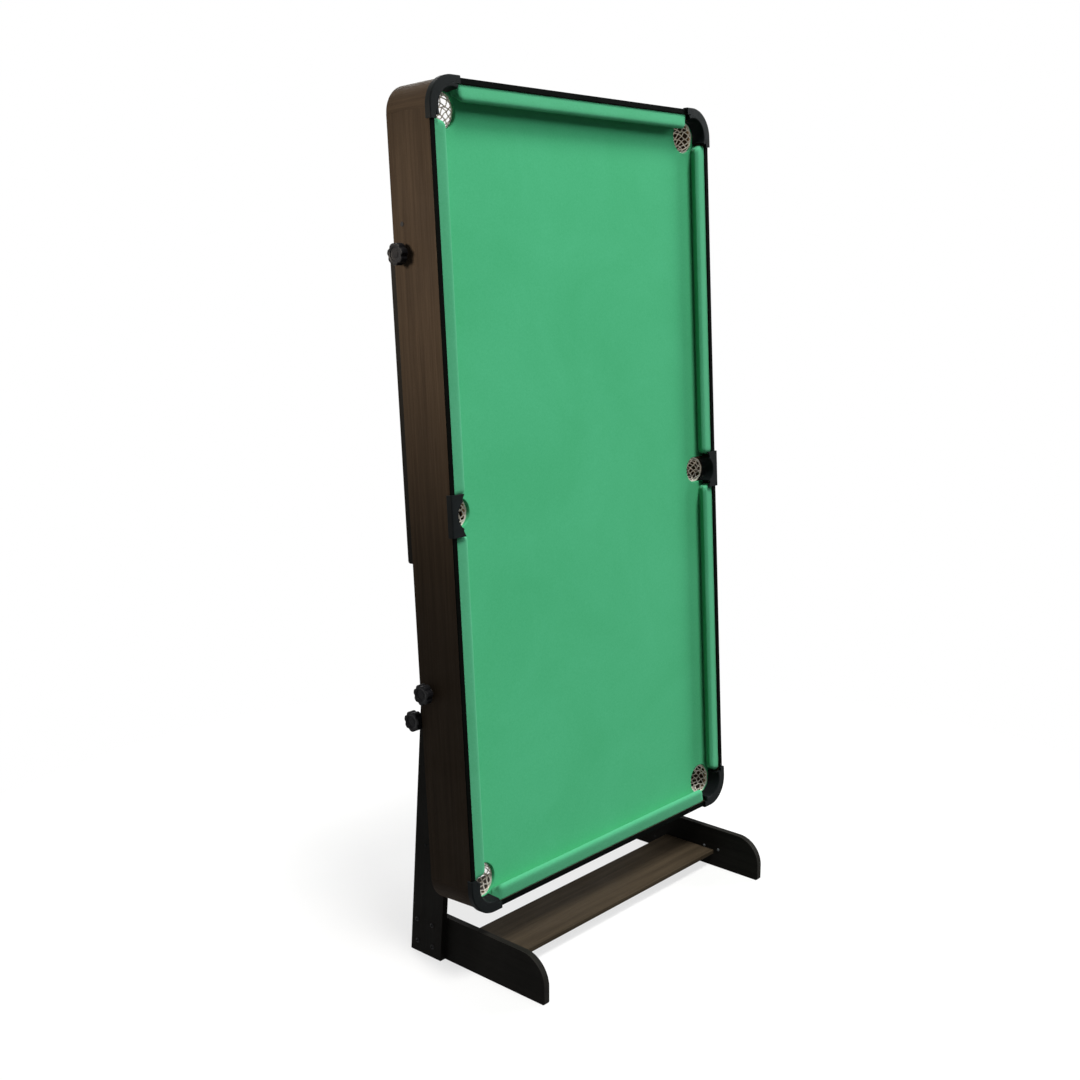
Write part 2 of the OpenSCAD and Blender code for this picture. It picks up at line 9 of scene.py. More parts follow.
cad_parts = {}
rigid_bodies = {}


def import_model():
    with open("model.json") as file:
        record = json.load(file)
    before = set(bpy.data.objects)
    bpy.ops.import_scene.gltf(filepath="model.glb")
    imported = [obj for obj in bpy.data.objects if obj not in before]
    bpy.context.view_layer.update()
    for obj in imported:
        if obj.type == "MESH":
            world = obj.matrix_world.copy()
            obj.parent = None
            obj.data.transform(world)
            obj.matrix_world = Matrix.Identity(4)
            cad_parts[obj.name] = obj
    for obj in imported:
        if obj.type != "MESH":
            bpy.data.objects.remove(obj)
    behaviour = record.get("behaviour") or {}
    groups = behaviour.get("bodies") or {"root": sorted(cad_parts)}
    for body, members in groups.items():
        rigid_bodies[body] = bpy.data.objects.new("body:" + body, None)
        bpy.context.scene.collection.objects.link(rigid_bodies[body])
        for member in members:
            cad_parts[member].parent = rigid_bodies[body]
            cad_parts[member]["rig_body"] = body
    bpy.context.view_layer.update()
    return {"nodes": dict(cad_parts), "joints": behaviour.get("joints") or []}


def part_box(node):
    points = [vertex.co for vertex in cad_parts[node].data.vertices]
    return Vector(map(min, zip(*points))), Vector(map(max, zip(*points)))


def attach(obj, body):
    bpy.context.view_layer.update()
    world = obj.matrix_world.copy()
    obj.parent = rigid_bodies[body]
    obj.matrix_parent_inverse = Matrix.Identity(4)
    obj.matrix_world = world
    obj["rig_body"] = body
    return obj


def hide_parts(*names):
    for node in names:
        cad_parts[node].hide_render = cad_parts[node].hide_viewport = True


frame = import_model()

NOISE_SEED = 1
noise.seed_set(NOISE_SEED)  # noise_vector() shifts its field by offsets drawn from this seed

# Table top, drawn lying flat: x across, v along it from its lower end, w up from the rim
TABLE_L = 1.830
TABLE_W = 0.976
APRON_T = 0.012
APRON_H = 0.134
CORNER_R = 0.064
BED_DROP = 0.032
CUSHION_W = 0.036
CORNER_MOUTH_R = 0.040
MIDDLE_MOUTH_R = 0.034
MIDDLE_INSET = 0.051  # centre of a middle pocket, in from the outer face of its apron
CORNER_NET_DEPTH = 0.116
MIDDLE_NET_DEPTH = 0.095
PIVOT_DROP = 0.104  # pivot below the rim
LOW_Z = 0.166  # lowest edge of the folded top above the floor
POST_LEAN = math.radians(4.68)

HALF_W = TABLE_W / 2
INNER_X = HALF_W - APRON_T
MID_V = TABLE_L / 2
CLOTH_W = -BED_DROP

# From the flat drawing to the folded table top
JOINTS = {joint["name"]: joint for joint in frame["joints"]}
PIVOT = Vector(JOINTS["table_tilt"]["pos_m"])
LEAN = math.radians(90 - JOINTS["table_tilt"]["range_deg"][1])
PIVOT_V = (PIVOT.z - LOW_Z - (APRON_H - PIVOT_DROP) * math.sin(LEAN)) / math.cos(LEAN)
TABLE = (
    Matrix.Translation(PIVOT)
    @ Matrix.Rotation(math.pi / 2 - LEAN, 4, "X")
    @ Matrix.Translation((0, -PIVOT_V, PIVOT_DROP))
)

FULL = 2 * math.pi
WELD = 1e-6
GAP = 0.0003  # left between pieces that lie against each other


# Materials

MIX_SHARE, MIX_A, MIX_B, MIX_RESULT = 0, 6, 7, 2  # sockets of a Mix node set to colours
EDGE_COS, FACE_COS = 0.86, 0.985  # between the bevelled and the true normal


class Surface:
    """A procedural material. add() makes a node and gives each named input a socket or a value."""

    def __init__(self, name):
        self.material = bpy.data.materials.new(name)
        self.material.use_nodes = True
        self.tree = self.material.node_tree
        self.shader = self.tree.nodes["Principled BSDF"]
        self.point = self.add("ShaderNodeTexCoord").outputs["Object"]

    def feed(self, socket, value):
        """Links an output to a socket, or sets the socket; a colour may leave out its alpha."""
        if isinstance(value, bpy.types.NodeSocket):
            self.tree.links.new(value, socket)
        elif socket.type == "RGBA" and len(value) == 3:
            socket.default_value = (*value, 1)
        else:
            socket.default_value = value

    def add(self, kind, settings=(), **inputs):
        made = self.tree.nodes.new(kind)
        for key, value in dict(settings).items():
            setattr(made, key, value)
        for key, value in inputs.items():
            self.feed(made.inputs[key.replace("_", " ")], value)
        return made

    def stretched(self, scale, lean=0.0):
        """Object coordinates turned upright by lean about X and then scaled along each axis."""
        made = self.add("ShaderNodeMapping", {"vector_type": "TEXTURE"}, Vector=self.point,
                        Scale=tuple(1 / n for n in scale), Rotation=(-lean, 0, 0))
        return made.outputs["Vector"]

    def noise(self, scale, detail, rough, at=None, bend=0.0):
        """Noise with about scale spots to the metre."""
        made = self.add("ShaderNodeTexNoise", Vector=at or self.point, Scale=scale,
                        Detail=detail, Roughness=rough, Distortion=bend)
        return made.outputs["Fac"]

    def ramp(self, value, *stops):
        """Maps value through (position, colour or grey) stops."""
        made = self.add("ShaderNodeValToRGB", Fac=value)
        points = made.color_ramp.elements
        while len(points) < len(stops):
            points.new(0.5)
        for point, (position, tint) in zip(points, stops):
            point.position = position
            point.color = (tint, tint, tint, 1) if isinstance(tint, float) else (*tint, 1)
        return made.outputs["Color"]

    def mix(self, share, a, b, mode="MIX"):
        """Colour a with colour b laid over it by share."""
        made = self.add("ShaderNodeMix", {"data_type": "RGBA", "blend_type": mode})
        for number, value in ((MIX_SHARE, share), (MIX_A, a), (MIX_B, b)):
            self.feed(made.inputs[number], value)
        return made.outputs[MIX_RESULT]

    def calculate(self, operation, a, b):
        made = self.add("ShaderNodeMath", {"operation": operation})
        self.feed(made.inputs[0], a)
        self.feed(made.inputs[1], b)
        return made.outputs[0]

    def plus(self, a, b):
        return self.calculate("ADD", a, b)

    def times(self, a, b):
        return self.calculate("MULTIPLY", a, b)

    def bump(self, height, depth, strength, under=None):
        made = self.add("ShaderNodeBump", Height=height, Distance=depth, Strength=strength)
        if under is not None:
            self.feed(made.inputs["Normal"], under)
        return made.outputs["Normal"]

    def edges(self, radius):
        """1 on the rounded edges of a piece and 0 on its faces."""
        soft = self.add("ShaderNodeBevel", {"samples": 4}, Radius=radius).outputs["Normal"]
        true = self.add("ShaderNodeNewGeometry").outputs["Normal"]
        dot = self.add("ShaderNodeVectorMath", {"operation": "DOT_PRODUCT"})
        self.feed(dot.inputs[0], soft)
        self.feed(dot.inputs[1], true)
        return self.ramp(dot.outputs["Value"], (EDGE_COS, 1.0), (FACE_COS, 0.0))

    def finish(self, **inputs):
        for key, value in inputs.items():
            self.feed(self.shader.inputs[key.replace("_", " ")], value)
        return self.material

    def blend_in(self, share, shader):
        """Lays another shader over the main one by share."""
        both = self.add("ShaderNodeMixShader", Fac=share)
        self.feed(both.inputs[1], self.shader.outputs["BSDF"])
        self.feed(both.inputs[2], shader)
        self.feed(self.tree.nodes["Material Output"].inputs["Surface"], both.outputs["Shader"])


# Fine across the grain and long along it
GRAIN = {"x": (6, 210, 210), "y": (210, 6, 210), "z": (210, 210, 6)}
TIMBER_COARSE = 3
EDGE_WEAR_AND_HIGHLIGHT = 7  # a plastic's worn edges, also lightened as a painted highlight, as so many times its lighter tone


def laminate(name, dark, light, worn, grain, lean=LEAN, rough=0.6, gloss=0.03):
    """Printed wood-grain laminate: long fine grain, pores, a little wear along the edges."""
    s = Surface(name)
    along = s.stretched(GRAIN[grain], lean)
    broad = s.noise(0.35, detail=4, rough=0.6, at=along, bend=0.6)
    fine = s.noise(2.2, detail=5, rough=0.65, at=along)
    colour = s.ramp(s.mix(0.4, broad, fine), (0.34, dark), (0.66, light))
    cloudy = s.ramp(s.noise(3.1, detail=4, rough=0.55), (0.3, 0.82), (0.75, 1.0))
    colour = s.mix(1.0, colour, cloudy, "MULTIPLY")
    scuffs = s.ramp(s.noise(38, detail=6, rough=0.75, bend=0.4), (0.5, 0.0), (0.64, 1.0))
    wear = s.times(s.edges(0.0016), s.times(scuffs, 0.55))
    colour = s.mix(wear, colour, worn)
    pores = s.ramp(s.noise(5.5, detail=3, rough=0.5, at=along), (0.44, 0.0), (0.56, 1.0))
    orange_peel = s.bump(s.noise(420, detail=2, rough=0.5), depth=0.00006, strength=0.4)
    normal = s.bump(pores, depth=0.00012, strength=0.5, under=orange_peel)
    patches = s.noise(9, detail=5, rough=0.6)
    roughness = s.ramp(patches, (0.3, rough - 0.06), (0.7, rough + 0.08))
    return s.finish(Base_Color=colour, Roughness=roughness, Normal=normal,
                    Specular_IOR_Level=gloss)


def timber(name, dark, light, grain):
    """Planed bare pine with growth rings."""
    s = Surface(name)
    along = s.stretched(tuple(n / TIMBER_COARSE for n in GRAIN[grain]), LEAN)
    rings = s.add("ShaderNodeTexWave", {"wave_type": "RINGS"}, Vector=along, Scale=0.35,
                  Distortion=3.5, Detail=3.0, Detail_Scale=1.4).outputs["Fac"]
    fibre = s.noise(9, detail=4, rough=0.7, at=along)
    colour = s.ramp(s.mix(0.35, rings, fibre), (0.2, light), (0.85, dark))
    normal = s.bump(fibre, depth=0.0002, strength=0.5)
    return s.finish(Base_Color=colour, Roughness=s.ramp(fibre, (0.3, 0.6), (0.7, 0.8)),
                    Normal=normal)


def fibreboard(name, dark, light):
    """Raw fibreboard: fine felted fibres."""
    s = Surface(name)
    fibre = s.noise(240, detail=6, rough=0.75, bend=0.8)
    patches = s.noise(7, detail=4, rough=0.6)
    colour = s.ramp(s.mix(0.35, fibre, patches), (0.32, dark), (0.68, light))
    return s.finish(Base_Color=colour, Roughness=0.82,
                    Normal=s.bump(fibre, depth=0.0002, strength=0.5))


def baize(name, deep, bright):
    """Napped green cloth: a fine weave under short brushed fibres."""
    s = Surface(name)
    flat = s.stretched((1, 1, 1), LEAN)
    warp, weft = [
        s.add("ShaderNodeTexWave", {"wave_type": "BANDS", "bands_direction": direction},
              Vector=flat, Scale=330, Distortion=1.6, Detail=1.0).outputs["Fac"]
        for direction in "XZ"
    ]
    weave = s.times(warp, weft)
    nap = s.noise(1500, detail=4, rough=0.75, at=s.stretched((1, 1, 0.35)))
    tufts = s.noise(260, detail=4, rough=0.7, bend=0.5)
    brushed = s.noise(3.4, detail=5, rough=0.62, bend=0.7)
    colour = s.ramp(s.mix(0.45, tufts, brushed), (0.3, deep), (0.7, bright))
    colour = s.mix(0.3, colour, s.ramp(nap, (0.3, 0.72), (0.7, 1.0)), "MULTIPLY")
    fuzz = s.bump(nap, depth=0.00022, strength=0.6)
    normal = s.bump(weave, depth=0.00016, strength=0.45, under=fuzz)
    return s.finish(Base_Color=colour, Roughness=0.94, Normal=normal, Specular_IOR_Level=0.05,
                    Sheen_Weight=0.08, Sheen_Roughness=0.5, Sheen_Tint=(0.62, 0.95, 0.75))


def moulded(name, dark, light, rough, grain, gloss=0.04):
    """Moulded plastic with a spark-eroded grain, and worn edges lightened further as a painted
    highlight.
    """
    s = Surface(name)
    sparks = s.noise(grain, detail=3, rough=0.6)
    colour = s.ramp(s.noise(16, detail=5, rough=0.65), (0.32, dark), (0.7, light))
    scuffs = s.ramp(s.noise(70, detail=4, rough=0.7), (0.46, 0.0), (0.62, 0.6))
    # Scuffed edges lightened to many times the lighter tone: partly wear, partly a painted
    # highlight along them
    edge_wear_and_highlight = s.times(s.edges(0.0011), scuffs)
    colour = s.mix(edge_wear_and_highlight, colour, tuple(EDGE_WEAR_AND_HIGHLIGHT * c for c in light))
    patches = s.noise(32, detail=5, rough=0.7)
    roughness = s.ramp(patches, (0.3, rough - 0.07), (0.72, rough + 0.1))
    return s.finish(Base_Color=colour, Roughness=roughness, Specular_IOR_Level=gloss,
                    Normal=s.bump(sparks, depth=0.0001, strength=0.45))


def plated(name, dark, light, rough, metallic=1.0, gloss=0.5):
    """Zinc-plated or enamelled steel with fine turning marks."""
    s = Surface(name)
    marks = s.noise(160, detail=4, rough=0.7, at=s.stretched((9, 1, 1)))
    colour = s.ramp(s.noise(60, detail=5, rough=0.7), (0.3, dark), (0.7, light))
    roughness = s.ramp(marks, (0.3, rough - 0.08), (0.7, rough + 0.1))
    return s.finish(Base_Color=colour, Metallic=metallic, Roughness=roughness,
                    Specular_IOR_Level=gloss, Normal=s.bump(marks, depth=0.00005, strength=0.4))


def twine(name, dark, light):
    """Soft spun string that lets some light through."""
    s = Surface(name)
    fibre = s.noise(1300, detail=4, rough=0.8, bend=1.2)
    plies = s.add("ShaderNodeTexWave", {"wave_type": "BANDS", "bands_direction": "DIAGONAL"},
                  Vector=s.point, Scale=330, Distortion=2.5, Detail=2.0).outputs["Fac"]
    colour = s.ramp(s.mix(0.5, plies, fibre), (0.25, dark), (0.6, light))
    fuzz = s.bump(fibre, depth=0.0002, strength=0.5)
    normal = s.bump(plies, depth=0.0004, strength=0.7, under=fuzz)
    glow = s.add("ShaderNodeBsdfTranslucent", Color=colour).outputs["BSDF"]
    s.blend_in(0.7, glow)
    return s.finish(Base_Color=colour, Roughness=0.9, Normal=normal, Specular_IOR_Level=0.1,
                    Sheen_Weight=0.2)


# Dark, light and worn tones of the laminates, dark and light ones of the pine
BROWN = ((0.025, 0.0172, 0.0112), (0.046, 0.0325, 0.0215), (0.11, 0.085, 0.062))
BLACK_BROWN = ((0.0085, 0.0080, 0.0070), (0.0165, 0.0152, 0.0130), (0.06, 0.055, 0.05))
BEAM_BROWN = ((0.028, 0.021, 0.0135), (0.056, 0.042, 0.027), (0.07, 0.06, 0.05))
PINE = ((0.42, 0.25, 0.11), (0.62, 0.43, 0.23))

MATERIALS = {
    "apron_v": laminate("apron_laminate_upright", *BROWN, grain="z"),
    "apron_x": laminate("apron_laminate_across", *BROWN, grain="x"),
    "post": laminate("post_laminate", *BLACK_BROWN, grain="z", lean=-POST_LEAN),
    "leg": laminate("leg_laminate", *BLACK_BROWN, grain="z"),
    "beam": laminate("beam_laminate", *BEAM_BROWN, grain="x", lean=0.0, rough=0.55, gloss=0.02),
    "foot": laminate("foot_laminate", *BLACK_BROWN, grain="y", lean=0.0),
    "fibreboard": fibreboard("bed_fibreboard", (0.20, 0.125, 0.065), (0.34, 0.23, 0.13)),
    "moulding": laminate("moulding_laminate", *BROWN, grain="y"),
    "pine_x": timber("pine_across", *PINE, grain="x"),
    "pine_v": timber("pine_upright", *PINE, grain="z"),
    "cloth": baize("green_cloth", (0.052, 0.385, 0.165), (0.078, 0.46, 0.225)),
    "cushion": baize("cushion_cloth", (0.058, 0.34, 0.16), (0.088, 0.40, 0.22)),
    "plastic": moulded("black_plastic", (0.0030, 0.0040, 0.0042), (0.0066, 0.0083, 0.0090),
                       rough=0.5, grain=900),
    "edging": moulded("black_edging", (0.0007, 0.0010, 0.0008), (0.0018, 0.0026, 0.0021),
                      rough=0.6, grain=700, gloss=0.01),
    "knob": moulded("knob_plastic", (0.006, 0.006, 0.007), (0.010, 0.010, 0.011),
                    rough=0.4, grain=1400, gloss=0.08),
    "string": twine("net_string", (0.70, 0.66, 0.60), (0.96, 0.95, 0.92)),
    "zinc": plated("zinc_steel", (0.40, 0.41, 0.43), (0.62, 0.63, 0.65), rough=0.34),
    "black_steel": plated("black_steel", (0.005, 0.005, 0.0055), (0.012, 0.012, 0.013),
                          rough=0.45, metallic=0.0, gloss=0.12),
    "dull_steel": plated("dull_steel", (0.10, 0.11, 0.115), (0.16, 0.17, 0.18),
                         rough=0.4, metallic=0.0, gloss=0.3),
}


# Making pieces

SMOOTH_ANGLE = math.radians(32)
ROUND_FROM = math.radians(40)
FLAT_ANGLE = math.radians(0.4)


def linked(name, data):
    """A new object of the scene."""
    obj = bpy.data.objects.new(name, data)
    bpy.context.scene.collection.objects.link(obj)
    return obj


def paint(mesh, material):
    mesh.materials.clear()
    mesh.materials.append(MATERIALS[material])


def place(name, mesh, body, material):
    """Links a mesh as a piece that rides on a body."""
    obj = linked(name, mesh)
    paint(mesh, material)
    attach(obj, body)
    return obj


def dressed(node, name, mesh, material):
    """A piece that stands for one node, with its body and its slot."""
    obj = place(name, mesh, frame["nodes"][node]["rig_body"], material)
    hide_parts(node)
    return obj


def as_mesh(name, bm, matrix=None):
    """A smooth-shaded mesh from a bmesh, with its true edges left sharp."""
    mesh = bpy.data.meshes.new(name)
    bmesh.ops.recalc_face_normals(bm, faces=bm.faces)
    bm.to_mesh(mesh)
    bm.free()
    if matrix is not None:
        mesh.transform(matrix)
        if matrix.determinant() < 0:
            mesh.flip_normals()
    mesh.shade_smooth()
    mesh.set_sharp_from_angle(angle=SMOOTH_ANGLE)
    return mesh


def node_bmesh(node):
    """A welded copy of a CAD node's mesh."""
    bm = bmesh.new()
    bm.from_mesh(frame["nodes"][node].data)
    bmesh.ops.remove_doubles(bm, verts=bm.verts, dist=WELD)
    return bm


def round_edges(bm, radius, segments=3):
    """Rounds every edge sharper than ROUND_FROM."""
    sharp = [e for e in bm.edges
             if len(e.link_faces) == 2 and e.calc_face_angle(0) > ROUND_FROM]
    bmesh.ops.bevel(bm, geom=sharp, offset=radius, segments=segments, profile=0.5,
                    affect="EDGES", clamp_overlap=True)


def applied(obj):
    """Makes a piece's modifiers part of its mesh."""
    graph = bpy.context.evaluated_depsgraph_get()
    obj.data = bpy.data.meshes.new_from_object(obj.evaluated_get(graph))
    obj.modifiers.clear()


def weighted(obj):
    """Turns the normals of a rounded piece to its large faces."""
    obj.modifiers.new("normals", "WEIGHTED_NORMAL").keep_sharp = True
    applied(obj)


def rounded(node, material, radius):
    """Replaces a rigid node by a copy with its sharp edges rounded."""
    bm = node_bmesh(node)
    bmesh.ops.dissolve_limit(bm, angle_limit=FLAT_ANGLE, verts=bm.verts, edges=bm.edges)
    round_edges(bm, radius)
    weighted(dressed(node, node + "_finished", as_mesh(node, bm), material))


def loft(bm, rings, capped=True, ring_closed=True):
    """Skins equal rings of points; capped closes both ends with a fan."""
    rows = [[bm.verts.new(p) for p in ring] for ring in rings]
    count = len(rows[0])
    for a, b in zip(rows, rows[1:]):
        for i in range(count if ring_closed else count - 1):
            j = (i + 1) % count
            bm.faces.new((a[i], a[j], b[j], b[i]))
    if capped:
        for row in (rows[0], rows[-1]):
            centre = bm.verts.new(sum((v.co for v in row), Vector()) / count)
            for i in range(count):
                bm.faces.new((row[i], row[(i + 1) % count], centre))


def fan(whole, steps, with_last=True):
    """Even angles from 0 to whole, with or without the last one."""
    return [whole * k / steps for k in range(steps + 1 if with_last else steps)]


def tube(bm, points, radius, sides, ring=False):
    """A round bar along points, closed at its ends or into a ring."""
    rings = []
    count = len(points)
    side = None
    for i, p in enumerate(points):
        if ring:
            ahead = points[(i + 1) % count] - points[i - 1]
        else:
            ahead = points[min(i + 1, count - 1)] - points[max(i - 1, 0)]
        if side is None:
            side = ahead.orthogonal().normalized()
        else:
            side = (side - ahead * side.dot(ahead) / ahead.length_squared).normalized()
        up = ahead.normalized().cross(side)
        rings.append([p + radius * (math.cos(t) * side + math.sin(t) * up)
                      for t in fan(FULL, sides, with_last=False)])
    loft(bm, rings + [rings[0]] if ring else rings, capped=not ring)


def revolved(bm, profile, matrix, steps, start=0.0, end=FULL, outline=None):
    """Turns (radius, height) points about local Z. outline(angle, radius) may reshape a ring."""
    whole = end - start > FULL - WELD
    angles = [start + angle for angle in fan(end - start, steps, with_last=not whole)]

    def point(angle, radius, height):
        r = outline(angle, radius) if outline else radius
        return matrix @ Vector((r * math.cos(angle), r * math.sin(angle), height))

    if whole:
        loft(bm, [[point(a, r, h) for a in angles] for r, h in profile])
    else:
        loft(bm, [[point(a, r, h) for r, h in profile] for a in angles])


def arc_points(cx, cy, radius, start, end, steps):
    """Points on an arc; angles in degrees."""
    return [(cx + radius * math.cos(math.radians(start + t)),
             cy + radius * math.sin(math.radians(start + t))) for t in fan(end - start, steps)]


def facing_x(sign):
    """Turns local Z to the right for 1 and to the left for -1."""
    return Matrix.Rotation(sign * math.pi / 2, 4, "Y")


def side_sign(name):
    return -1 if "left" in name else 1


def end_sign(name):
    return 1 if name.startswith(("top", "upper")) else -1


def corner_at(side, end):
    """(x, v) of the centre of a corner pocket."""
    return side * (HALF_W - CORNER_R), MID_V + end * (MID_V - CORNER_R)


# Boards, aprons and mouldings: the CAD shapes with eased edges

for material, radius, nodes in [
    ("post", 0.0012, ("left_post", "right_post")),
    ("foot", 0.0012, ("left_foot", "right_foot")),
    ("beam", 0.0008, ("cross_beam",)),
    ("apron_v", 0.0006, ("left_apron", "right_apron")),
    ("apron_x", 0.0006, ("top_apron", "bottom_apron")),
    ("moulding", 0.0006, ("top_left_moulding", "top_right_moulding",
                          "bottom_left_moulding", "bottom_right_moulding")),
    ("edging", 0.0008, ("rim_edging",)),
    ("leg", 0.0012, ("left_end_leg", "right_end_leg")),
    ("beam", 0.0010, ("stretcher",)),
    ("pine_x", 0.0015, ("cross_battens",)),
    ("pine_v", 0.0012, ("hinge_bearers",)),
]:
    for node in nodes:
        rounded(node, material, radius)

# Nodes that keep their CAD shape and get a better material
for material, nodes in [
    ("pine_x", ("beam_dowels", "pivot_spacers")),
    ("fibreboard", ("bed_board",)),
    ("zinc", ("post_bushes", "pivot_bolts", "hinge_screws", "end_leg_bolts",
              "left_lock_stud", "right_lock_stud")),
    ("black_steel", ("left_hinge_plate", "right_hinge_plate", "leg_stop_pins",
                     "stretcher_screws")),
]:
    for node in nodes:
        paint(frame["nodes"][node].data, material)


# Bed cloth: stretched over the board and turned down into the six pockets

HOLE_STEPS = 72
CLOTH_CORNER_STEPS = 12
WRAP_R = 0.0016
WRAP_DEPTH = 0.011
WRAP_LIP = 0.002
WRAP_STEPS = 5
WRAP_T = 0.0007
CORNER_WALL_R = CORNER_MOUTH_R - WRAP_T
MIDDLE_WALL_R = MIDDLE_MOUTH_R - WRAP_T
CLOTH_WELD = 10 * WELD


def ring_at(cx, cv, radius):
    return [(cx + radius * math.cos(t), cv + radius * math.sin(t))
            for t in fan(FULL, HOLE_STEPS, with_last=False)]


def notch_at(side, radius):
    """The U of a middle pocket, from the rail round to the rail again."""
    cx = HALF_W - MIDDLE_INSET
    curve = [(cx - radius * math.sin(t), MID_V - radius * math.cos(t))
             for t in fan(math.pi, HOLE_STEPS // 2)]
    return [(side * x, v)
            for x, v in [(INNER_X, MID_V - radius), *curve, (INNER_X, MID_V + radius)]]


def wrap_profile():
    """(widening of the mouth, drop) from the flat cloth down the wall of a pocket."""
    curve = [(WRAP_R * (1 - math.sin(t)), WRAP_R * (1 - math.cos(t)))
             for t in fan(math.pi / 2, WRAP_STEPS)]
    return curve + [(0.0, WRAP_DEPTH)]


def turned_down(angle, outward):
    """Depth of the cloth on a pocket's wall: full towards the bed, a lip at the casting."""
    facing = math.cos(angle - math.atan2(outward[1], outward[0]))
    return WRAP_LIP + (WRAP_DEPTH - WRAP_LIP) * (0.5 - 0.5 * facing)


def cloth_outline():
    """The outer edge, from the lower right corner up the right side and round."""
    outline = []
    for i, (side, end) in enumerate([(1, -1), (1, 1), (-1, 1), (-1, -1)]):
        outline += arc_points(*corner_at(side, end), CORNER_R - APRON_T, 90 * (i - 1), 90 * i,
                              CLOTH_CORNER_STEPS)
        if side != end:
            notch = notch_at(side, MIDDLE_WALL_R + WRAP_R)
            outline += notch if side > 0 else notch[::-1]
    return outline


def corner_wall(bm, side, end):
    """The cloth turned down into a corner pocket."""
    cx, cv = corner_at(side, end)

    def height(x, v, drop):
        return CLOTH_W - min(drop, turned_down(math.atan2(v - cv, x - cx), (side, end)))

    loft(bm, [[(x, v, height(x, v, drop)) for x, v in ring_at(cx, cv, CORNER_WALL_R + more)]
              for more, drop in wrap_profile()], capped=False)


def middle_wall(bm, side):
    """The cloth turned down into a middle pocket."""
    loft(bm, [[(x, v, CLOTH_W - drop) for x, v in notch_at(side, MIDDLE_WALL_R + more)]
              for more, drop in wrap_profile()], capped=False, ring_closed=False)


def bed_cloth():
    bm = bmesh.new()
    outlines = [cloth_outline()]
    outlines += [ring_at(*corner_at(side, end), CORNER_WALL_R + WRAP_R)
                 for side in (-1, 1) for end in (-1, 1)]
    loops = [[bm.verts.new((x, v, CLOTH_W)) for x, v in outline] for outline in outlines]
    edges = [bm.edges.new((a, b)) for loop in loops for a, b in zip(loop, loop[1:] + loop[:1])]
    bmesh.ops.triangle_fill(bm, use_beauty=True, edges=edges)
    for side in (-1, 1):
        for end in (-1, 1):
            corner_wall(bm, side, end)
        middle_wall(bm, side)
    bmesh.ops.remove_doubles(bm, verts=bm.verts, dist=CLOTH_WELD)
    flat_area = sum(f.calc_area() for f in bm.faces)
    cloth = dressed("bed_cloth", "stretched_bed_cloth", as_mesh("bed_cloth", bm, TABLE), "cloth")
    solid = cloth.modifiers.new("thickness", "SOLIDIFY")
    solid.thickness = WRAP_T
    solid.offset = -1
    applied(cloth)
    weighted(cloth)


bed_cloth()


# Cushions: cloth over rubber, with a rounded nose and mitred, turned-in ends

# (inward from the rail, w) round the section, from the cloth at the rail over to the cloth again
CUSHION_SECTION = [(a / 1000, w / 1000) for a, w in [
    (0.0, -31.6), (0.0, -16.0), (0.0, -5.0), (0.3, -4.0), (1.2, -3.4), (4.0, -3.0),
    (10.0, -2.3), (17.0, -1.4), (23.0, -0.8), (27.5, -0.7), (30.8, -1.5), (33.4, -3.3),
    (35.2, -5.5), (35.8, -7.2), (35.4, -8.8), (34.2, -10.7), (31.4, -15.0), (28.2, -20.0),
    (24.9, -25.4), (22.0, -30.2), (21.0, -31.6),
]]
SECTION_CORE = Vector((0.4 * CUSHION_W, CLOTH_W / 2))
CUSHION_END = 0.082
MITRE_RUN = 0.009
MIDDLE_ROOT = 0.006
MIDDLE_MITRE = 0.005
CUSHION_STATIONS = 90
END_ROUND = 0.013
END_TUCK = 0.009
END_STEPS = 7
RIPPLE = Vector((0.00028, 0.00022))
RIPPLE_PITCH = (9, 31, 17)  # along the rail, and by the cushion's place across and along
RIPPLE_RISE = 40
RIPPLE_FROM = 0.002  # above the cloth


def cushion_stations():
    """(share of the way, offset, tuck towards the core) from one end to the other."""
    tip = [(END_ROUND * (1 - math.cos(t)), END_TUCK * (1 - math.sin(t)))
           for t in fan(math.pi / 2, END_STEPS, with_last=False)]
    shares = [k / CUSHION_STATIONS for k in range(CUSHION_STATIONS + 1)]
    return (
        [(0.0, run, tuck) for run, tuck in tip]
        + [(share, END_ROUND * (1 - 2 * share), 0.0) for share in shares]
        + [(1.0, -run, tuck) for run, tuck in reversed(tip)]
    )


def cushion(node, origin, along, inward, end, end_mitre):
    """A cushion along a rail, up to end. end_mitre is the run lost at its nose there."""
    bm = bmesh.new()
    rings = []
    for share, offset, tuck in cushion_stations():
        ring = []
        for a, w in CUSHION_SECTION:
            reach = a / CUSHION_W
            first = CUSHION_END + MITRE_RUN * reach
            last = end - end_mitre * reach
            y = first + (last - first) * share + offset
            at = Vector((a, w))
            at += (SECTION_CORE - at).normalized() * tuck
            if w > CLOTH_W + RIPPLE_FROM:
                ripple = noise.noise(Vector((y * RIPPLE_PITCH[0],
                                             origin[0] * RIPPLE_PITCH[1] + w * RIPPLE_RISE,
                                             origin[1] * RIPPLE_PITCH[2])))
                at += RIPPLE * ripple * reach
            spot = Vector(origin) + Vector(along) * y + Vector(inward) * max(at.x, 0.0)
            ring.append(Vector((spot.x, spot.y, max(at.y, CLOTH_W + GAP))))
        rings.append(ring)
    loft(bm, rings)
    bmesh.ops.remove_doubles(bm, verts=bm.verts, dist=WELD)
    made = dressed(node, node + "_covered", as_mesh(node, bm, TABLE), "cushion")


for node in ("top_cushion", "bottom_cushion"):
    end = end_sign(node)
    cushion(node, (-HALF_W, TABLE_L - APRON_T if end > 0 else APRON_T), (1, 0), (0, -end),
            TABLE_W - CUSHION_END, MITRE_RUN)

